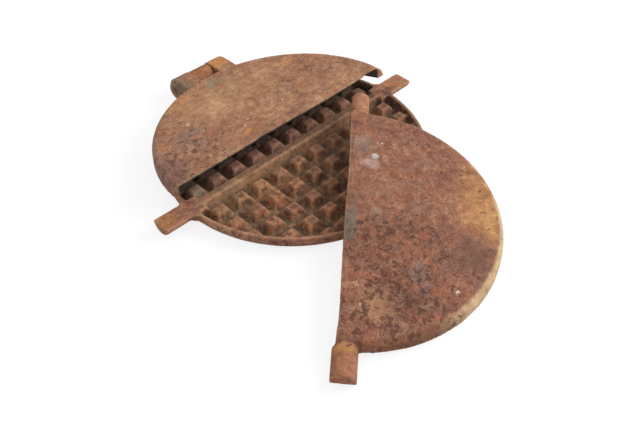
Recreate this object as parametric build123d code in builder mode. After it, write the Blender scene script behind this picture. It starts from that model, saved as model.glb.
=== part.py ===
from build123d import *
import os
from math import degrees, radians, tan

# A round stovetop waffle iron in cast iron, in millimetres. Its pan lies flat and whole. Its lid
# has broken in two along the groove beside the middle bar: one half still hangs on the hinge pin,
# the other lies loose, leaning on the pan's rim. The origin is the middle of the pan's flat
# underside, +Z is up, +X runs along the pan's trunnions and +Y points at the hinge.

os.makedirs("parts", exist_ok=True)

# Dishes: pan and lid are shallow dishes of one depth that meet rim to rim when closed
pan_radius = 100.0
lid_overhang = 1.0
dish_depth = 10.8
plate_thickness = 3.4
rim_width = 3.0
outer_draft = 1.0
inner_draft = 1.5
back_bevel = 3.0
back_ease = 0.9

# Cooking face: rows of blunt knobs, a little lower than the rim, on both sides of a bar that
# joins the trunnions and is flush with the rim
column_pitch = 18.6
row_pitch = 17.2
knob_groove = 3.4
knob_slope = 26.5
knob_edge = 0.7
knob_drop = 1.2
bar_top_width = 6.4
bar_slope = 17.0
bar_groove = 1.6
pan_pad_reach = 9.0
pan_pad_foot = 12.0
lid_pad_reach = 2.0
lid_pad_foot = 16.0

# Trunnions: a half-round stub on each half, so that the closed halves make a round journal
pan_journal_radius = 8.2
lid_journal_radius = 7.2
pan_journal_length = 24.5
lid_near_radius = 8.2
lid_near_length = 21.0
lid_far_length = 24.0
flare_inset = 0.2
journal_edge = 1.0

# Hinge: one knuckle on the pan between two ears on the lid, on a plain pin in the rim plane
hinge_offset = 3.3
hinge_overhang = 15.5
ear_lift = 1.1
ear_bevel = 2.8
knuckle_step = 0.5
knuckle_edge = 0.8
barrel_width = 17.9
barrel_side_gap = 0.4
pan_arm_depth = 8.0
arm_gap = 0.5
pin_radius = 3.0
pin_play = 0.05
pin_recess = 0.3
pin_edge = 0.5

# Fracture: it runs this far outside the foot of the bar, and wanders by small steps on its way
# across. Each step is a share of the lid's radius along X and a distance towards the hinge.
break_offset = 1.1
break_steps = [(-1.1, 0.2), (-0.6, -0.5), (-0.1, 0.2), (0.35, -0.3), (0.75, 0.3), (1.1, 1.2)]

# Where the two lid pieces lie. Their tips about X and Y are shares of the slope from the table up
# to the pan's rim over its radius, and the middles of their rim planes are shares of the pan's
# radius and of the dish depth, so they stay on the rim when either changes.
hinged_tip = (-0.748, -0.336)
hinged_yaw = -2.18
hinged_middle = (-0.0309, 0.033, 1.801)
loose_tip = (0.6125, -0.8484)
loose_yaw = 41.13
loose_middle = (-0.2981, -0.8934, 1.0926)

# Worked out from the sizes above
lid_radius = pan_radius + lid_overhang
hinge_reach = lid_radius + hinge_overhang
ear_radius = dish_depth - ear_lift
knuckle_radius = ear_radius - knuckle_step
clear_cut = 2 * dish_depth
knob_height = dish_depth - plate_thickness - knob_drop
knob_length = column_pitch - knob_groove
knob_width = row_pitch - knob_groove
bar_height = dish_depth - plate_thickness
bar_foot_width = bar_top_width + 2 * bar_height * tan(radians(bar_slope))
first_row = bar_foot_width / 2 + bar_groove + knob_width / 2
slope = degrees(dish_depth / pan_radius)


def lying(middle, tip, yaw):
    """The rim plane of a lid piece that lies on the pan."""
    origin = (middle[0] * pan_radius, middle[1] * pan_radius, middle[2] * dish_depth)
    return Plane(origin).rotated((tip[0] * slope, tip[1] * slope, yaw), Extrinsic.XYZ)


hinged_plane = lying(hinged_middle, hinged_tip, hinged_yaw)
loose_plane = lying(loose_middle, loose_tip, loose_yaw)


def knob_field(wall_radius, wall_mid_radius):
    """All knobs of one cooking face on z = 0, cut off inside the wall that they run into."""
    columns = 2 * int(wall_radius / column_pitch)
    rows = int(wall_radius / row_pitch)
    block_middle = first_row + (rows - 1) / 2 * row_pitch
    with BuildPart() as field:
        with BuildSketch():
            with Locations((0, block_middle), (0, -block_middle)):
                with GridLocations(column_pitch, row_pitch, columns, rows):
                    Rectangle(knob_length, knob_width)
        extrude(amount=knob_height, taper=knob_slope)
        tops = field.faces().filter_by(Axis.Z).group_by(Axis.Z)[-1]
        chamfer(tops.edges(), length=knob_edge)
        Cylinder(
            radius=wall_mid_radius,
            height=knob_height,
            align=(Align.CENTER, Align.CENTER, Align.MIN),
            mode=Mode.INTERSECT,
        )
    return field.part


def dish(radius, pad_width, pad_reach, pad_foot):
    """One half of the iron without trunnions or hinge: flat back on z = 0, rim at dish_depth."""
    wall_mid_radius = radius - rim_width / 2
    with BuildPart() as body:
        with BuildSketch(Plane.XZ) as section:
            with BuildLine():
                Polyline(
                    (0, 0),
                    (radius - outer_draft, 0),
                    (radius, dish_depth),
                    (radius - rim_width, dish_depth),
                    (radius - rim_width - inner_draft, plate_thickness),
                    (0, plate_thickness),
                    (0, 0),
                )
            make_face()
            back_corner = (radius - outer_draft, 0)
            chamfer(section.vertices().sort_by_distance(back_corner)[0], back_bevel)
            chamfer(section.vertices().sort_by_distance(back_corner)[:2], back_ease)
        revolve(axis=Axis.Z)
        # bar between the trunnions
        with BuildSketch(Plane.YZ.offset(-wall_mid_radius)):
            with Locations((0, plate_thickness)):
                Trapezoid(
                    bar_foot_width,
                    bar_height,
                    90 - bar_slope,
                    align=(Align.CENTER, Align.MIN),
                )
        extrude(amount=2 * wall_mid_radius)
        # ramps that thicken the bar's ends up to the rim
        with BuildSketch(Plane.XZ):
            with BuildLine():
                Polyline(
                    (wall_mid_radius, dish_depth),
                    (wall_mid_radius - pad_reach, dish_depth),
                    (wall_mid_radius - pad_foot, plate_thickness),
                    (wall_mid_radius, plate_thickness),
                    (wall_mid_radius, dish_depth),
                )
            make_face()
            mirror(about=Plane.YZ)
        extrude(amount=pad_width / 2, both=True)
        with Locations((0, 0, plate_thickness)):
            add(knob_field(radius - rim_width - inner_draft, wall_mid_radius))
    return body.part


def half_journal(rim_radius, journal_radius, length):
    """Upper half of a trunnion on z = 0 along +X, flared where it grows out of the rim."""
    root = rim_radius - rim_width / 2
    tip = rim_radius + length
    flare_radius = dish_depth - flare_inset
    flare = flare_radius - journal_radius
    with BuildPart() as journal:
        with BuildSketch():
            with BuildLine():
                Polyline(
                    (root, 0),
                    (root, flare_radius),
                    (rim_radius, flare_radius),
                    (rim_radius + flare, journal_radius),
                    (tip - journal_edge, journal_radius),
                    (tip, journal_radius - journal_edge),
                    (tip, 0),
                    (root, 0),
                )
            make_face()
        revolve(axis=Axis.X, revolution_arc=180)
    return journal.part


def ear(start, outer_face):
    """One ear of the lid, from its wall out to a barrel that starts at start and runs along +X."""
    with BuildPart() as lug:
        with BuildSketch(Plane.YZ.offset(start)):
            with Locations((hinge_reach, dish_depth)):
                Circle(ear_radius)
                with Locations((0, arm_gap)):
                    Rectangle(
                        hinge_reach,
                        ear_radius - arm_gap,
                        align=(Align.MAX, Align.MIN),
                    )
        extrude(amount=barrel_width)
        outline = lug.faces().sort_by(Axis.X)[outer_face].edges().sort_by(Axis.Z)[1:]
        chamfer(outline, length=ear_bevel)
        with Locations((hinged_plane.origin.X, hinged_plane.origin.Y, dish_depth)):
            Cylinder(lid_radius - rim_width / 2, clear_cut, mode=Mode.SUBTRACT)
    return lug.part


def pin_bore(length):
    """The hole through the barrels, as a solid to cut away, centred on the knuckle."""
    with BuildPart() as bore:
        with BuildSketch(Plane.YZ.offset(hinge_offset - length / 2)):
            with Locations((hinge_reach, dish_depth)):
                Circle(pin_radius + pin_play)
        extrude(amount=length)
    return bore.part


knuckle_start = hinge_offset - barrel_width / 2
left_ear_start = knuckle_start - barrel_side_gap - barrel_width
right_ear_start = knuckle_start + barrel_width + barrel_side_gap
hinge_width = 3 * barrel_width + 2 * barrel_side_gap

# Knuckle of the pan, on an arm that grows out of its wall
with BuildPart() as knuckle:
    with BuildSketch(Plane.YZ.offset(knuckle_start)):
        with Locations((hinge_reach, dish_depth)):
            Circle(knuckle_radius)
    extrude(amount=barrel_width)
    chamfer(knuckle.edges().filter_by(GeomType.CIRCLE), length=knuckle_edge)
    with BuildSketch(Plane.YZ.offset(knuckle_start)):
        with Locations((hinge_reach, dish_depth - arm_gap)):
            Rectangle(
                hinge_reach - pan_radius + rim_width / 2,
                pan_arm_depth,
                align=(Align.MAX, Align.MAX),
            )
    extrude(amount=barrel_width)

# Pan: the lower dish with both trunnions and the knuckle
pan_journal = half_journal(pan_radius, pan_journal_radius, pan_journal_length)
with BuildPart() as waffle_pan:
    add(dish(pan_radius, 2 * pan_journal_radius, pan_pad_reach, pan_pad_foot))
    with Locations(Plane((0, 0, dish_depth), x_dir=(1, 0, 0), z_dir=(0, 0, -1))):
        add(pan_journal)
    with Locations(Plane((0, 0, dish_depth), x_dir=(-1, 0, 0), z_dir=(0, 0, -1))):
        add(pan_journal)
    add(knuckle.part)
    add(pin_bore(hinge_width), mode=Mode.SUBTRACT)
waffle_pan.part.label = "waffle_pan"
export_step(waffle_pan.part, "parts/waffle_pan.step")

# Hinge pin: a plain rod, a little shorter than the three barrels
pin_length = hinge_width - 2 * pin_recess
with BuildPart() as hinge_pin:
    with BuildSketch(Plane.YZ.offset(hinge_offset - pin_length / 2)):
        with Locations((hinge_reach, dish_depth)):
            Circle(pin_radius)
    extrude(amount=pin_length)
    chamfer(hinge_pin.edges().filter_by(GeomType.CIRCLE), length=pin_edge)
hinge_pin.part.label = "hinge_pin"
export_step(hinge_pin.part, "parts/hinge_pin.step")

# Lid: the same dish turned over, with its rim plane at z = 0, and the trunnion at its far end
with BuildPart() as lid_casting:
    with Locations(Plane((0, 0, dish_depth), x_dir=(1, 0, 0), z_dir=(0, 0, -1))):
        add(dish(lid_radius, 2 * (dish_depth - flare_inset), lid_pad_reach, lid_pad_foot))
    add(half_journal(lid_radius, lid_journal_radius, lid_far_length))

# All that lies on the hinge side of the break
break_line = bar_foot_width / 2 + break_offset
with BuildPart() as hinge_side:
    with BuildSketch():
        with BuildLine():
            edge = Spline(*[(share * lid_radius, break_line + step) for share, step in break_steps])
            Polyline(
                edge @ 1,
                ((edge @ 1).X, 2 * lid_radius),
                ((edge @ 0).X, 2 * lid_radius),
                edge @ 0,
            )
        make_face()
    extrude(amount=clear_cut, both=True)

# Hinged half of the lid: it lies askew on the pan, but its ears stay in line with the pin
with BuildPart() as hinged_lid_half:
    add(ear(left_ear_start, 0))
    add(ear(right_ear_start, -1))
    add(pin_bore(hinge_width), mode=Mode.SUBTRACT)
    with Locations(hinged_plane):
        add(lid_casting.part & hinge_side.part)
hinged_lid_half.part.label = "hinged_lid_half"
export_step(hinged_lid_half.part, "parts/hinged_lid_half.step")

# Near trunnion of the lid: no flare, straight sides and a round back almost flush with the plate
near_lift = dish_depth - flare_inset - lid_near_radius
with BuildPart() as near_journal:
    with BuildSketch(Plane.YZ.offset(lid_radius - rim_width / 2)):
        with Locations((0, near_lift)):
            Circle(lid_near_radius)
        Rectangle(2 * lid_near_radius, near_lift, align=(Align.CENTER, Align.MIN))
        Rectangle(2 * lid_near_radius, lid_near_radius, align=(Align.CENTER, Align.MAX), mode=Mode.SUBTRACT)
    extrude(amount=lid_near_length + rim_width / 2)
    chamfer(near_journal.faces().sort_by(Axis.X)[-1].edges(), length=journal_edge)

# Loose half of the lid: it kept the bar and both trunnions
with BuildPart(loose_plane) as loose_lid_half:
    add(lid_casting.part)
    add(hinge_side.part, mode=Mode.SUBTRACT)
    add(near_journal.part, rotation=(0, 0, 180))
loose_lid_half.part.label = "loose_lid_half"
export_step(loose_lid_half.part, "parts/loose_lid_half.step")
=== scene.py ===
from math import radians

import bpy
from mathutils import Euler, Matrix, Vector


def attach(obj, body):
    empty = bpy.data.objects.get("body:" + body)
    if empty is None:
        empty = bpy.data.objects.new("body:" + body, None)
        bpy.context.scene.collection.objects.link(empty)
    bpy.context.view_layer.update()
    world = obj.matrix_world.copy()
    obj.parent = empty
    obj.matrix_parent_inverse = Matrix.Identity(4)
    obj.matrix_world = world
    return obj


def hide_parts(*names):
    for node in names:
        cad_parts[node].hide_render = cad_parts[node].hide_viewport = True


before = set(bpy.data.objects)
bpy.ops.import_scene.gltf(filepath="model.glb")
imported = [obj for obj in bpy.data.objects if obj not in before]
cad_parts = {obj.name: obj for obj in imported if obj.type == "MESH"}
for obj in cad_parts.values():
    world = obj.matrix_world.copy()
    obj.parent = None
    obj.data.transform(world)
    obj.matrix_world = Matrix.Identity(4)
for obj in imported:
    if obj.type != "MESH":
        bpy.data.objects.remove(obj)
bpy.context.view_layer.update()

MM = 0.001

# The plane of each piece's rim, in which its rust is laid out, as in the part's source: turns about
# X, Y and Z in degrees, and the place of the rim's middle in millimetres. The bar lies along its X.
LEVEL = {"turn": (0, 0, 0), "middle": (0, 0, 0)}
HINGED = {"turn": (-4.63, -2.08, -2.18), "middle": (-3.09, 3.30, 19.45)}
LOOSE = {"turn": (3.79, -5.25, 41.13), "middle": (-29.81, -89.34, 11.80)}

# Places in that plane, in millimetres. The lid broke along a line beside its bar, just short of the
# feet of the first knobs, and further out where it ran through the root of a trunnion.
BREAK_LINE = 7.0
FIRST_KNOBS = 7.04
TRUNNION_ROOT = 90
TRUNNION_BREAK = 7.7

# Where the tearing and the wall's tone and painted light are gone, then where they are whole, in
# millimetres: the tearing by its distance from the break line and from the middle, the wall's by
# the second alone
TORN_BAND = (3.2, 2.2)
TORN_REACH = (90, 86)
WALL = (95.6, 98)

# How far the torn lip sinks for each millimetre that it reaches
LIP_DROOP = 0.06

# The kinds of node that are used over and over
MATH = "ShaderNodeMath"
VECTOR = "ShaderNodeVectorMath"
NOISE = "ShaderNodeTexNoise"
SPAN = "ShaderNodeMapRange"
MIX = "ShaderNodeMix"


# ------------------------------------------------------------------ small helpers
def linear(colour):
    """An sRGB hex colour as the linear RGBA that sockets take."""
    channels = [int(colour[i : i + 2], 16) / 255 for i in (0, 2, 4)]
    return (*[c / 12.92 if c <= 0.04045 else ((c + 0.055) / 1.055) ** 2.4 for c in channels], 1.0)


def per(size_mm):
    """The texture scale at which a pattern repeats about every size_mm."""
    return 1 / (size_mm * MM)


def metres(point_mm):
    """A place or size in millimetres as a vector in metres."""
    return Vector(point_mm) * MM


def turned(degrees):
    """Turns about X, Y and Z in degrees as a vector in radians."""
    return Vector([radians(angle) for angle in degrees])


def add(tree, kind, sockets=None, stops=(), **settings):
    """Adds a node. settings are its properties and stops a ramp's (position, hex colour) pairs.
    Each socket, by name or by its place in the list, takes a value, another node or an output."""
    node = tree.nodes.new(kind)
    for name, value in settings.items():
        setattr(node, name, value)
    for number, (position, colour) in enumerate(stops):
        marks = node.color_ramp.elements
        mark = marks[number] if number < len(marks) else marks.new(position)
        mark.position, mark.color = position, linear(colour)
    for key, value in (sockets or {}).items():
        shown = [s for s in node.inputs if s.enabled]
        socket = shown[key] if isinstance(key, int) else next(s for s in shown if s.name == key)
        if isinstance(value, bpy.types.Node):
            value = next(s for s in value.outputs if s.enabled)
        if isinstance(value, bpy.types.NodeSocket):
            tree.links.new(value, socket)
        elif isinstance(value, str) and socket.type == "RGBA":
            socket.default_value = linear(value)
        else:
            socket.default_value = value
    return node


def from_middle(tree, plan):
    """How far a point lies from the rim's middle, measured along the plane of the rim."""
    level = add(tree, VECTOR, {0: plan, 1: (1, 1, 0)}, operation="MULTIPLY")
    return add(tree, VECTOR, {0: level}, operation="LENGTH")


# ------------------------------------------------------------------ rough castings
def casting_tree():
    """Geometry nodes that turn a clean casting into a rusted one. They sink hollows, grain and
    pits into its skin, tear up its break, and keep two numbers on each point: how far it stands
    out of its surroundings and how much it belongs to the torn face."""
    tree = bpy.data.node_groups.new("rusted_casting", "GeometryNodeTree")
    face = tree.interface
    face.new_socket("Geometry", in_out="INPUT", socket_type="NodeSocketGeometry")
    for name, value in (
        ("Hollow depth", 0.3 * MM),
        ("Hollow size", 17 * MM),
        ("Pit depth", 0.35 * MM),
        ("Pit spacing", 5.5 * MM),
        ("Grain depth", 0.14 * MM),
        ("Grain size", 2.4 * MM),
        ("Break depth", 0.0),
        ("Break grain", 5.0 * MM),
        ("Break line", BREAK_LINE * MM),
        ("Seed", 1.0),
    ):
        socket = face.new_socket(name, in_out="INPUT", socket_type="NodeSocketFloat")
        socket.default_value = value
    face.new_socket("Rim middle", in_out="INPUT", socket_type="NodeSocketVector")
    face.new_socket("Rim turn", in_out="INPUT", socket_type="NodeSocketVector")
    face.new_socket("Iron", in_out="INPUT", socket_type="NodeSocketMaterial")
    face.new_socket("Geometry", in_out="OUTPUT", socket_type="NodeSocketGeometry")
    given = tree.nodes.new("NodeGroupInput").outputs
    place = add(tree, "GeometryNodeInputPosition")
    normal = add(tree, "GeometryNodeInputNormal")

    # how far a point stands out of its surroundings, in millimetres
    calm = {0: place, "Iterations": 8}
    calm = add(tree, "GeometryNodeBlurAttribute", calm, data_type="FLOAT_VECTOR")
    rise = add(tree, VECTOR, {0: place, 1: calm}, operation="SUBTRACT")
    rise = add(tree, VECTOR, {0: rise, 1: normal}, operation="DOT_PRODUCT")
    rise = add(tree, MATH, {0: rise, 1: 1 / MM}, operation="MULTIPLY")
    kept = add(
        tree,
        "GeometryNodeStoreNamedAttribute",
        {"Geometry": given["Geometry"], "Name": "standing_out", "Value": rise},
        data_type="FLOAT",
        domain="POINT",
    )

    # the torn face lies near the break line, inside the wall, and looks across the bar
    rim = add(
        tree,
        "FunctionNodeCombineTransform",
        {"Translation": given["Rim middle"], "Rotation": given["Rim turn"]},
    )
    back = add(tree, "FunctionNodeInvertMatrix", {0: rim})
    plan = add(tree, "FunctionNodeTransformPoint", {0: place, 1: back})
    out = from_middle(tree, plan)
    across = add(tree, "ShaderNodeSeparateXYZ", {0: plan}).outputs["Y"]
    facing = add(tree, "FunctionNodeTransformDirection", {0: normal, 1: back})
    facing = add(tree, "ShaderNodeSeparateXYZ", {0: facing}).outputs["Y"]
    facing = add(tree, MATH, {0: facing}, operation="ABSOLUTE")
    near = add(tree, MATH, {0: across, 1: given["Break line"]}, operation="SUBTRACT")
    near = add(tree, MATH, {0: near}, operation="ABSOLUTE")
    start, end = TORN_BAND
    near = add(tree, SPAN, {"Value": near, "From Min": start * MM, "From Max": end * MM})
    broken = add(tree, MATH, {0: given["Break depth"], 1: 0.0}, operation="GREATER_THAN")
    near = add(tree, MATH, {0: near, 1: broken}, operation="MULTIPLY")
    start, end = TORN_REACH
    inside = add(tree, SPAN, {"Value": out, "From Min": start * MM, "From Max": end * MM})
    near = add(tree, MATH, {0: near, 1: inside}, operation="MULTIPLY")
    torn = add(tree, MATH, {0: near, 1: facing}, operation="MULTIPLY")
    kept = add(
        tree,
        "GeometryNodeStoreNamedAttribute",
        {"Geometry": kept, "Name": "torn", "Value": torn},
        data_type="FLOAT",
        domain="POINT",
    )

    # ragged pits, in the fields where the rust has eaten deepest
    scale = add(tree, MATH, {0: 1.0, 1: given["Pit spacing"]}, operation="DIVIDE")
    pits = add(
        tree,
        NOISE,
        {"Vector": place, "W": given["Seed"], "Scale": scale, "Detail": 3.0, "Roughness": 0.6},
        noise_dimensions="4D",
    )
    pits = add(
        tree,
        SPAN,
        {"Value": pits, "From Min": 0.53, "From Max": 0.68},
        interpolation_type="SMOOTHSTEP",
    )
    eaten = add(
        tree,
        NOISE,
        {"Vector": place, "W": given["Seed"], "Scale": per(30), "Detail": 2.0},
        noise_dimensions="4D",
    )
    eaten = add(tree, SPAN, {"Value": eaten, "From Min": 0.42, "From Max": 0.62})
    pits = add(tree, MATH, {0: pits, 1: eaten}, operation="MULTIPLY")
    sunk = add(tree, MATH, {0: pits, 1: given["Pit depth"]}, operation="MULTIPLY")

    # the tears of the break, and the hollows and grain of the whole skin, each with its own seed
    for size, depth, detail, shift, where in (
        ("Break grain", "Break depth", 3.0, 31.0, near),
        ("Hollow size", "Hollow depth", 1.0, 11.0, None),
        ("Grain size", "Grain depth", 3.0, 17.0, None),
    ):
        seed = add(tree, MATH, {0: given["Seed"], 1: shift}, operation="ADD")
        scale = add(tree, MATH, {0: 1.0, 1: given[size]}, operation="DIVIDE")
        height = add(
            tree,
            NOISE,
            {"Vector": place, "W": seed, "Scale": scale, "Detail": detail},
            noise_dimensions="4D",
        )
        height = add(tree, MATH, {0: height, 1: given[depth]}, operation="MULTIPLY")
        if where:
            height = add(tree, MATH, {0: height, 1: where}, operation="MULTIPLY")
        sunk = add(tree, MATH, {0: sunk, 1: height}, operation="ADD")

    sunk = add(tree, MATH, {0: sunk, 1: -1.0}, operation="MULTIPLY")
    inward = add(tree, VECTOR, {0: normal, "Scale": sunk}, operation="SCALE")
    rough = add(tree, "GeometryNodeSetPosition", {"Geometry": kept, "Offset": inward})
    rough = add(tree, "GeometryNodeRealizeInstances", {"Geometry": rough})
    rough = add(tree, "GeometryNodeSetMaterial", {"Geometry": rough, "Material": given["Iron"]})
    add(tree, "NodeGroupOutput", {0: rough})
    return tree


def rough_casting(name, node, tree, material, grain, lip, lie, sizes):
    """A CAD node's solid as a rusted casting. A copy of it is merged, given an even mesh with worn
    edges and roughened, and comes back as a plain mesh at the origin. The lip is how much further
    the torn plate reaches than the solid's plain break, in millimetres."""
    blank = bpy.data.objects.new(name + "_blank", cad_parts[node].data.copy())
    blank.data.materials.clear()
    bpy.context.collection.objects.link(blank)
    if lip:
        rim = Matrix.LocRotScale(metres(lie["middle"]), Euler(turned(lie["turn"])), None)
        back = rim.inverted()
        for corner in blank.data.vertices:
            plan = back @ corner.co
            at_root = plan.x > TRUNNION_ROOT * MM
            if plan.y < (TRUNNION_BREAK if at_root else FIRST_KNOBS) * MM:
                corner.co = rim @ (plan + metres((0, -lip, -LIP_DROOP * lip)))
    blank.modifiers.new("Merge", "WELD").merge_threshold = 0.002 * MM
    even = blank.modifiers.new("Even mesh", "REMESH")
    even.mode = "VOXEL"
    even.voxel_size = grain * MM
    even.use_smooth_shade = True
    worn = blank.modifiers.new("Worn edges", "SMOOTH")
    worn.factor, worn.iterations = 0.5, 2
    rust = blank.modifiers.new("Rust", "NODES")
    rust.node_group = tree
    ids = {s.name: s.identifier for s in tree.interface.items_tree if s.in_out == "INPUT"}
    rust[ids["Rim middle"]] = metres(lie["middle"])
    rust[ids["Rim turn"]] = turned(lie["turn"])
    rust[ids["Iron"]] = material
    for label, value in sizes.items():
        rust[ids[label]] = value
    view = bpy.context.evaluated_depsgraph_get()
    mesh = bpy.data.meshes.new_from_object(blank.evaluated_get(view))
    mesh.name = name
    bpy.data.objects.remove(blank)
    piece = bpy.data.objects.new(name, mesh)
    bpy.context.collection.objects.link(piece)
    return piece


# ------------------------------------------------------------------ rust
RED_OXIDE = "A05A36"
GREY_OXIDE = "866A5E"
WORN_EDGE = "C4936C"
HOLLOW_DARK = "3A281C"

# Which rows of knobs a layer covers: it is whole at the first place across the bar and gone at the
# second, in millimetres
ALL_ROWS = (98, 99)
HINGE_ROWS = (8, 6)
FRONT_ROWS = (-8, -6)


def spot(tree, plan, ripple, x, y, across, deep, angle, soft):
    """How much a point lies in a ragged patch around (x, y) in the piece's plan, in millimetres."""
    at = add(
        tree,
        "ShaderNodeMapping",
        {
            "Vector": plan,
            "Location": metres((x, y, 0)),
            "Rotation": turned((0, 0, angle)),
            "Scale": metres((across, deep, 1e6)),
        },
        vector_type="TEXTURE",
    )
    far = add(tree, VECTOR, {0: at}, operation="LENGTH")
    far = add(tree, MATH, {0: far, 1: ripple}, operation="ADD")
    return add(
        tree,
        SPAN,
        {"Value": far, "From Min": 1 + soft, "From Max": 1 - soft},
        interpolation_type="SMOOTHSTEP",
    )


def layered(tree, colour, patchy, flat, out, layers):
    """The cooking side's layers of rust, and of painted shade. Each is whole up to one height and
    gone at another, covers some rows of knobs out to a radius, and is mottled between two colours."""
    for low, high, (full, none), radius, dark, light, strength in layers:
        there = strength
        for value, start, end in (
            (flat.outputs["Z"], high, low),
            (flat.outputs["Y"], none, full),
            (out, radius + 1, radius - 1),
        ):
            limit = {"Value": value, "From Min": start * MM, "From Max": end * MM}
            limit = add(tree, SPAN, limit)
            there = add(tree, MATH, {0: limit, 1: there}, operation="MULTIPLY")
        tint = add(tree, MIX, {"Factor": patchy, "A": dark, "B": light}, data_type="RGBA")
        colour = add(tree, MIX, {"Factor": there, "A": colour, "B": tint}, data_type="RGBA")
    return colour


def rusted_iron(name, lie, tones, stains=(), wall_tone_and_painted_light=(), pitted=(), inside=(), painted_shade=()):
    """Grey cast iron, sand-cast and long rusted: a matt skin of brown and tan oxide, mottled every
    few millimetres, with dark scabs, lighter worn edges, and stains where something lay on it."""
    material = bpy.data.materials.new(name)
    material.use_nodes = True
    tree = material.node_tree
    tree.nodes.clear()
    point = add(tree, "ShaderNodeTexCoord").outputs["Object"]
    plan = add(
        tree,
        "ShaderNodeMapping",
        {"Vector": point, "Location": metres(lie["middle"]), "Rotation": turned(lie["turn"])},
        vector_type="TEXTURE",
    )
    flat = add(tree, "ShaderNodeSeparateXYZ", {0: plan})
    out = from_middle(tree, plan)

    # oxide: clouds of 22 mm, flakes of 5.5 mm and grain of 1.7 mm, added up
    clouds = add(tree, NOISE, {"Vector": plan, "Scale": per(22), "Detail": 2.0})
    flakes = add(
        tree, NOISE, {"Vector": plan, "Scale": per(5.5), "Detail": 5.0, "Roughness": 0.62}
    )
    grain = add(tree, NOISE, {"Vector": plan, "Scale": per(1.7), "Detail": 3.0, "Roughness": 0.7})
    mottle = add(tree, MATH, {0: clouds, 1: 0.25}, operation="MULTIPLY")
    mottle = add(tree, MATH, {0: flakes, 1: 0.4, 2: mottle}, operation="MULTIPLY_ADD")
    mottle = add(tree, MATH, {0: grain, 1: 0.35, 2: mottle}, operation="MULTIPLY_ADD")
    mottle = add(tree, SPAN, {"Value": mottle, "From Min": 0.34, "From Max": 0.66})
    colour = add(tree, "ShaderNodeValToRGB", {0: mottle}, stops=tones)

    # drifts of redder and of greyer oxide, about 11 mm apart
    drift = add(tree, NOISE, {"Vector": point, "Scale": per(11), "Detail": 4.0, "Roughness": 0.6})
    red = add(tree, SPAN, {"Value": drift, "From Min": 0.52, "From Max": 0.7, "To Max": 0.45})
    colour = add(tree, MIX, {"Factor": red, "A": colour, "B": RED_OXIDE}, data_type="RGBA")
    grey = add(tree, SPAN, {"Value": drift, "From Min": 0.46, "From Max": 0.32, "To Max": 0.4})
    colour = add(tree, MIX, {"Factor": grey, "A": colour, "B": GREY_OXIDE}, data_type="RGBA")

    # layers of rust on the cooking side, mottled as the flakes are
    patchy = add(tree, SPAN, {"Value": flakes, "From Min": 0.36, "From Max": 0.64})
    colour = layered(tree, colour, patchy, flat, out, inside)

    # veins: thin lighter lines that part the flakes, every 5 mm or so
    veins = add(
        tree, NOISE, {"Vector": plan, "Scale": per(4.8), "Detail": 4.0, "Distortion": 0.5}
    )
    veins = add(tree, MATH, {0: veins, 1: 0.5}, operation="SUBTRACT")
    veins = add(tree, MATH, {0: veins}, operation="ABSOLUTE")
    veins = add(tree, SPAN, {"Value": veins, "From Min": 0.02, "From Max": 0.0, "To Max": 0.45})
    lightest = tones[-1][1]
    colour = add(tree, MIX, {"Factor": veins, "A": colour, "B": lightest}, data_type="RGBA")

    # stains with ragged edges, mottled as the oxide is. The marks of the walls keep to the outer
    # wall and are partly its own tan and partly painted light: lighter where it faces the lamp,
    # painted shade where it turns away
    ripple = add(tree, MATH, {0: drift, 1: 0.5}, operation="SUBTRACT")
    ripple = add(tree, MATH, {0: ripple, 1: 2.4}, operation="MULTIPLY")
    shade = add(tree, SPAN, {"Value": mottle, "To Min": 0.5, "To Max": 1.45})
    start, end = WALL
    ring = add(tree, SPAN, {"Value": out, "From Min": start * MM, "From Max": end * MM})
    for where, marks in ((1.0, stains), (ring, wall_tone_and_painted_light)):
        for x, y, across, deep, angle, soft, stain, strength in marks:
            there = spot(tree, plan, ripple, x, y, across, deep, angle, soft)
            there = add(tree, MATH, {0: there, 1: strength}, operation="MULTIPLY")
            there = add(tree, MATH, {0: there, 1: where}, operation="MULTIPLY")
            tint = add(
                tree,
                MIX,
                {"Factor": 1.0, "A": stain, "B": shade},
                data_type="RGBA",
                blend_type="MULTIPLY",
            )
            colour = add(tree, MIX, {"Factor": there, "A": colour, "B": tint}, data_type="RGBA")

    # scabs: ragged dark crusts of 1 to 3 mm in shallow hollows. They lie where their noise passes
    # 0.82, so they are few, and where it passes 0.125 less in the middle of a pitted field.
    crust = add(
        tree,
        NOISE,
        {
            "Vector": plan,
            "Scale": per(4.4),
            "Detail": 5.0,
            "Roughness": 0.66,
            "Distortion": 0.3,
        },
    )
    crust = add(tree, MATH, {0: flakes, 1: 0.35, 2: crust}, operation="MULTIPLY_ADD")
    thick = 0.0
    for x, y, across, deep, angle, soft in pitted:
        there = spot(tree, plan, ripple, x, y, across, deep, angle, soft)
        thick = add(tree, MATH, {0: there, 1: thick}, operation="MAXIMUM")
    thick = add(tree, MATH, {0: thick, 1: 0.125, 2: -0.82}, operation="MULTIPLY_ADD")
    scabs = add(tree, MATH, {0: thick, 1: crust}, operation="ADD")
    scabs = add(
        tree,
        SPAN,
        {"Value": scabs, "From Min": -0.02, "From Max": 0.05, "To Max": 0.8},
        interpolation_type="SMOOTHSTEP",
    )
    darkest = tones[0][1]
    colour = add(tree, MIX, {"Factor": scabs, "A": colour, "B": darkest}, data_type="RGBA")

    # edges that are worn and lighter, and hollows that are darker
    rise = add(tree, "ShaderNodeAttribute", attribute_name="standing_out").outputs["Fac"]
    worn = add(tree, SPAN, {"Value": rise, "From Min": 0.06, "From Max": 0.5, "To Max": 0.3})
    colour = add(tree, MIX, {"Factor": worn, "A": colour, "B": WORN_EDGE}, data_type="RGBA")
    hollow_dark = add(tree, SPAN, {"Value": rise, "From Min": -0.05, "From Max": -0.5, "To Max": 0.45})
    colour = add(tree, MIX, {"Factor": hollow_dark, "A": colour, "B": HOLLOW_DARK}, data_type="RGBA")

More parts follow.
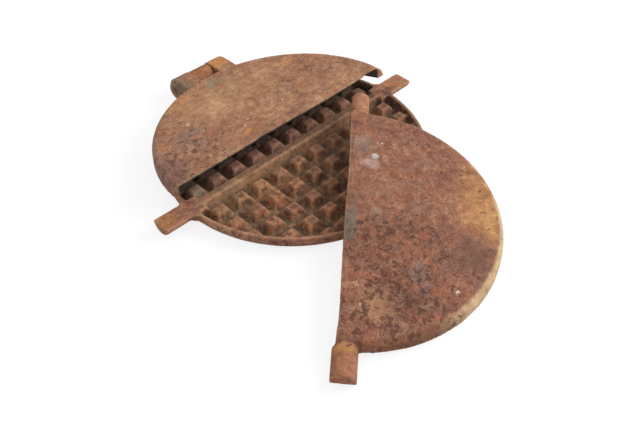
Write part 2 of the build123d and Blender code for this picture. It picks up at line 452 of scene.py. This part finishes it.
    # the torn face is coarser and greyer than the skin
    torn = add(tree, "ShaderNodeAttribute", attribute_name="torn").outputs["Fac"]
    torn = add(tree, MATH, {0: torn, 1: 0.85}, operation="MULTIPLY")
    scar = ((0.2, "35281F"), (0.5, "7A6450"), (0.8, "B39A78"))
    scar = add(tree, "ShaderNodeValToRGB", {0: mottle}, stops=scar)
    colour = add(tree, MIX, {"Factor": torn, "A": colour, "B": scar}, data_type="RGBA")

    # painted shade lies over all the rest: near-black where the lids' shadow falls on the knobs
    colour = layered(tree, colour, patchy, flat, out, painted_shade)

    # fine relief: the oxide stands up with its mottle and the scabs lie lower
    relief = add(tree, MATH, {0: scabs, 1: -0.6, 2: mottle}, operation="MULTIPLY_ADD")
    bump = add(
        tree, "ShaderNodeBump", {"Height": relief, "Distance": 0.45 * MM, "Strength": 0.6}
    )
    rough = add(tree, SPAN, {"Value": mottle, "To Min": 0.95, "To Max": 0.75})
    surface = add(
        tree,
        "ShaderNodeBsdfPrincipled",
        {"Base Color": colour, "Roughness": rough, "Metallic": 0.0, "Normal": bump},
    )
    add(tree, "ShaderNodeOutputMaterial", {"Surface": surface})
    return material


# Tones run from the darkest scab to the lightest vein. A stain is (x, y, half width, half depth,
# turn, softness, colour, strength) and a pitted field the first six of those. A layer is (height up
# to which it is whole, height at which it is gone, rows, radius, darker colour, lighter colour,
# strength). Places and sizes are millimetres in the plane of the rim, and turns are degrees. Where
# two of them overlap, the later one lies on top.
hinged_iron = rusted_iron(
    "rusted_cast_iron_hinged_half",
    HINGED,
    tones=(
        (0.0, "603828"),
        (0.3, "82573F"),
        (0.55, "9C6C4E"),
        (0.78, "AF835E"),
        (1.0, "CAA67C"),
    ),
    stains=(
        # broad tan and brown drifts on the back
        (-15, 62, 34, 22, 10, 0.8, "B28660", 0.7),
        (-42, 86, 16, 9, 0, 0.5, "B07C4E", 0.7),
        (-6, 85, 7, 5, 0, 0.6, "847A66", 0.55),
        (-60, 40, 14, 9, 20, 0.6, "8A6D5C", 0.6),
        # orange and red spots
        (-24, 14, 4.5, 2.2, 20, 0.5, "C98B3C", 0.8),
        (-55, 37, 3.5, 2.0, 0, 0.5, "B06040", 0.5),
        (55, 65, 7, 2.5, -20, 0.5, "C08844", 0.8),
        # pale flecks
        (-16, 26, 1.6, 0.7, 10, 0.5, "E8D2B0", 0.7),
        (-22.7, 21, 1.4, 0.6, 60, 0.5, "EEDCC0", 0.7),
        (18, 26, 0.9, 0.6, 0, 0.5, "DCC4A4", 0.7),
        (-51, 54, 2.2, 1.6, 0, 0.4, "CDB39A", 0.8),
        # the grey-brown near side, its darker mauve partly painted shade where the rounded edge
        # turns from the lamp
        (-96, 14, 16, 22, 20, 0.6, "7E5B50", 0.7),
        (-95, 40, 8, 40, -25, 0.6, "8A6A5E", 0.6),
        # the ears of the hinge
        (-27, 108, 10, 12, 0, 0.4, "7A6A58", 0.8),
        (18, 112, 14, 7, 0, 0.5, "BC8040", 0.8),
    ),
    pitted=((-80, 20, 40, 22, 0, 0.9),),
    inside=((8.6, 9.9, ALL_ROWS, 97, "3A241A", "7A4E38", 0.8),),
    # painted shade: near-black on the first knobs behind the break, where the lid's underside lies
    # in shadow
    painted_shade=((8.6, 9.7, (11, 26), 97, "0E0907", "22160F", 0.93),),
)
loose_iron = rusted_iron(
    "rusted_cast_iron_loose_half",
    LOOSE,
    tones=(
        (0.0, "4E281A"),
        (0.3, "6E4331"),
        (0.55, "84543E"),
        (0.78, "99684C"),
        (1.0, "C09874"),
    ),
    stains=(
        # tan towards the rim, and dark beside it
        (20, -84, 30, 13, 0, 0.7, "B27E4C", 0.75),
        (0, -92, 13, 5, 0, 0.6, "BE9054", 0.6),
        (-25, -76, 16, 13, 15, 0.7, "75503F", 0.8),
        # grey drifts
        (-48, -44, 13, 7, 0, 0.5, "84685A", 0.7),
        (-55, -47, 4, 3, 0, 0.4, "7E6870", 0.6),
        (-10, 2, 17, 4.5, 0, 0.5, "70695A", 0.75),
        (66, -3, 12, 5, 0, 0.6, "7E7266", 0.45),
        # a pale scar, the bloom beside it and a grey spot
        (54, -12, 3.4, 2.6, 30, 0.3, "B4B4A6", 1.0),
        (47, -9, 5, 4, 60, 0.7, "B8968A", 0.65),
        (3, -14, 4, 3, 0, 0.6, "94826F", 0.4),
        # red spots, and a tan drift over the end of one
        (-71, 1.5, 2.0, 1.2, 0, 0.5, "B85C40", 0.5),
        (-78, -55, 3, 1.6, 30, 0.5, "B8603C", 0.45),
        (-72, -14, 13, 9, 20, 0.6, "A87A58", 0.7),
        # pale flecks
        (-73, -7, 0.8, 0.7, 0, 0.4, "EEDDCE", 0.9),
        (-57, -67, 1.5, 1.2, 0, 0.4, "E6CABE", 0.9),
        (67, -17, 0.7, 0.6, 0, 0.4, "DCC8B4", 0.8),
        # the trunnions
        (112, 0, 14, 9, 0, 0.6, "B27C58", 0.7),
        (-112, 0, 12, 8, 0, 0.6, "B27452", 0.8),
        (-103, 2, 3, 7, 0, 0.5, "C08A44", 0.6),
    ),
    # the outer wall: its own tan brightened as painted light where it faces the lamp, and painted
    # shade where it turns away
    wall_tone_and_painted_light=(
        (-25, -97, 62, 20, 8, 0.5, "C2A47C", 0.95),
        (-62, -80, 34, 16, -38, 0.5, "C0A078", 0.9),
        (-95, -40, 30, 16, -66, 0.5, "74482F", 0.7),
    ),
    pitted=(
        (-55, -28, 48, 34, 0, 0.6),
        (-20, -20, 26, 20, 0, 0.6),
        (-80, -10, 22, 18, 0, 0.5),
    ),
    inside=((8.6, 9.9, ALL_ROWS, 97, "38221A", "704432", 0.8),),
)
pan_iron = rusted_iron(
    "rusted_cast_iron_pan",
    LEVEL,
    tones=(
        (0.0, "4C2C20"),
        (0.3, "7C4C38"),
        (0.55, "96644C"),
        (0.78, "AC7C5E"),
        (1.0, "C89C78"),
    ),
    stains=(
        # the bar: tan sides and a darker top
        (-45, 0, 46, 4.2, 0, 0.5, "A08058", 0.6),
        (20, 0, 40, 3.5, 0, 0.6, "8E6A4C", 0.6),
        (0, 0.9, 90, 2.4, 0, 0.5, "64483A", 0.7),
        # drifts over the knobs
        (-85, 10, 8, 7, 0, 0.5, "8A7E66", 0.7),
        (-40, -22, 22, 16, 0, 0.6, "B06C40", 0.6),
        (-20, 16, 40, 9, 0, 0.6, "7C5050", 0.5),
        # the trunnions and the knuckle
        (112, 0, 14, 9, 0, 0.6, "A67246", 0.7),
        (-118, 0, 7, 6, 0, 0.5, "B0763E", 0.6),
        (3, 117, 12, 10, 0, 0.5, "99602F", 0.8),
        # olive and dark drifts on the floor and by the far trunnion
        (-55, -16, 44, 14, 0, 0.7, "8A704C", 0.4),
        (94, 17, 9, 10, 0, 0.6, "5C4C3C", 0.9),
        (25, -34, 42, 26, 0, 0.7, "553A30", 0.45),
        (72, -46, 26, 22, 0, 0.6, "46342A", 0.6),
        (92, -14, 12, 16, 0, 0.6, "50382C", 0.75),
    ),
    pitted=((-40, -40, 60, 40, 0, 0.6),),
    # the bar, the knobs on both sides of it, then the floor between them
    inside=(
        (9.9, 10.9, ALL_ROWS, 97, "704E38", "A67A56", 0.75),
        (9.0, 10.2, HINGE_ROWS, 97, "4C322A", "946450", 0.85),
        (9.0, 10.2, FRONT_ROWS, 97, "51301F", "A4623C", 0.85),
        (3.9, 5.6, ALL_ROWS, 97, "5A4632", "967A54", 0.75),
    ),
    # painted shade: near-black on the knobs under the lid's broken edge, where its shadow falls,
    # and thinner behind it
    painted_shade=(
        (9.6, 10.4, (27, 22), 96, "0B0705", "1E140F", 0.92),
        (9.6, 10.4, (48, 33), 96, "43302A", "80604C", 0.75),
    ),
)
# A plain round bar of mild steel, with the same rust but nothing lying on it
pin_steel = rusted_iron(
    "rusted_mild_steel_pin",
    LEVEL,
    tones=((0.0, "4C2C20"), (0.5, "86583C"), (1.0, "B0825E")),
)

# ------------------------------------------------------------------ pieces
# Each has a name, the CAD node that it replaces, its body, slot and material, the grain of its mesh
# and the lip of its break in millimetres, the plane of its rim, and sizes of its own roughness. The
# lip brings the break line of the lid half on the hinge closer to the bar.
tree = casting_tree()
for name, node, body, slot, material, grain, lip, lie, sizes in (
    ("pan_casting", "waffle_pan", "pan", "pan_iron", pan_iron, 1.05, 0, LEVEL, {"Seed": 1.0}),
    (
        "lid_half_on_hinge",
        "hinged_lid_half",
        "hinged_half",
        "hinged_lid_iron",
        hinged_iron,
        0.8,
        5.5,
        HINGED,
        {"Seed": 2.0, "Break depth": 0.8 * MM, "Break line": 1.3 * MM},
    ),
    (
        "lid_half_loose",
        "loose_lid_half",
        "loose_half",
        "loose_lid_iron",
        loose_iron,
        0.84,
        0,
        LOOSE,
        {"Seed": 3.0, "Break depth": 0.8 * MM},
    ),
    (
        "pin",
        "hinge_pin",
        "pan",
        "pin_steel",
        pin_steel,
        0.4,
        0,
        LEVEL,
        {"Seed": 4.0, "Hollow depth": 0.02 * MM, "Pit depth": 0.1 * MM, "Grain depth": 0.04 * MM},
    ),
):
    piece = rough_casting(name, node, tree, material, grain, lip, lie, sizes)
    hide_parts(node)
    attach(piece, body)

# ------------------------------------------------------------------ floor, light and camera
reach = 4.0
corners = [(-reach, -reach, 0), (reach, -reach, 0), (reach, reach, 0), (-reach, reach, 0)]
floor_mesh = bpy.data.meshes.new("floor")
floor_mesh.from_pydata(corners, [], [(0, 1, 2, 3)])
floor = bpy.data.objects.new("floor", floor_mesh)
bpy.context.collection.objects.link(floor)

# Matt white paper. Seen by the camera and in gloss it is nearly white by itself, and keeps a faint
# shadow; it lights the iron only as plain pale paper does.
paper = bpy.data.materials.new("matt_white_paper")
paper.use_nodes = True
tree = paper.node_tree
tree.nodes.clear()
ray = add(tree, "ShaderNodeLightPath").outputs
seen = {0: ray["Is Camera Ray"], 1: ray["Is Glossy Ray"]}
seen = add(tree, MATH, seen, operation="ADD")
seen = {0: seen, 1: ray["Is Transmission Ray"]}
seen = add(tree, MATH, seen, operation="ADD", use_clamp=True)
plain = add(tree, "ShaderNodeBsdfDiffuse", {"Color": "D8D8D8"})
dim = add(tree, "ShaderNodeBsdfDiffuse", {"Color": "7C7C7C"})
glow = add(tree, "ShaderNodeEmission", {"Color": "FFFFFF", "Strength": 0.82})
shown = add(tree, "ShaderNodeAddShader", {0: dim, 1: glow})
both = add(tree, "ShaderNodeMixShader", {0: seen, 1: plain, 2: shown})
add(tree, "ShaderNodeOutputMaterial", {"Surface": both})
floor_mesh.materials.append(paper)

# A pale room lights the iron from all sides, and the camera sees it as white
world = bpy.data.worlds.new("pale_room")
bpy.context.scene.world = world
world.use_nodes = True
tree = world.node_tree
tree.nodes.clear()
ray = add(tree, "ShaderNodeLightPath").outputs
room = add(tree, "ShaderNodeBackground", {"Color": "F6F6F8", "Strength": 0.8})
white = add(tree, "ShaderNodeBackground", {"Color": "FFFFFF", "Strength": 1.0})
both = add(tree, "ShaderNodeMixShader", {0: ray["Is Camera Ray"], 1: room, 2: white})
add(tree, "ShaderNodeOutputWorld", {"Surface": both})

# One broad lamp, beyond the pan's far trunnion and about 35 degrees above the floor
lamp = bpy.data.lights.new("broad_lamp", "AREA")
lamp.shape = "RECTANGLE"
lamp.size, lamp.size_y = 0.7, 0.5
lamp.energy = 8.2
lamp_stand = bpy.data.objects.new("broad_lamp", lamp)
lamp_stand.location = (0.75, -0.45, 0.62)
towards = Vector((-0.02, -0.04, 0)) - lamp_stand.location
lamp_stand.rotation_euler = towards.to_track_quat("-Z", "Y").to_euler()
bpy.context.collection.objects.link(lamp_stand)

# The camera looks down on the iron from beyond the near trunnion and the loose lid half
camera = bpy.data.cameras.new("camera")
camera.lens = 43.92
camera.sensor_width = 36
tripod = bpy.data.objects.new("camera", camera)
tripod.location = metres((-306.25, -338.66, 384.67))
towards = metres((-31.38, -59.32, 0)) - tripod.location
tripod.rotation_euler = towards.to_track_quat("-Z", "Y").to_euler()
bpy.context.collection.objects.link(tripod)
bpy.context.scene.camera = tripod
bpy.context.scene.view_settings.view_transform = "Standard"
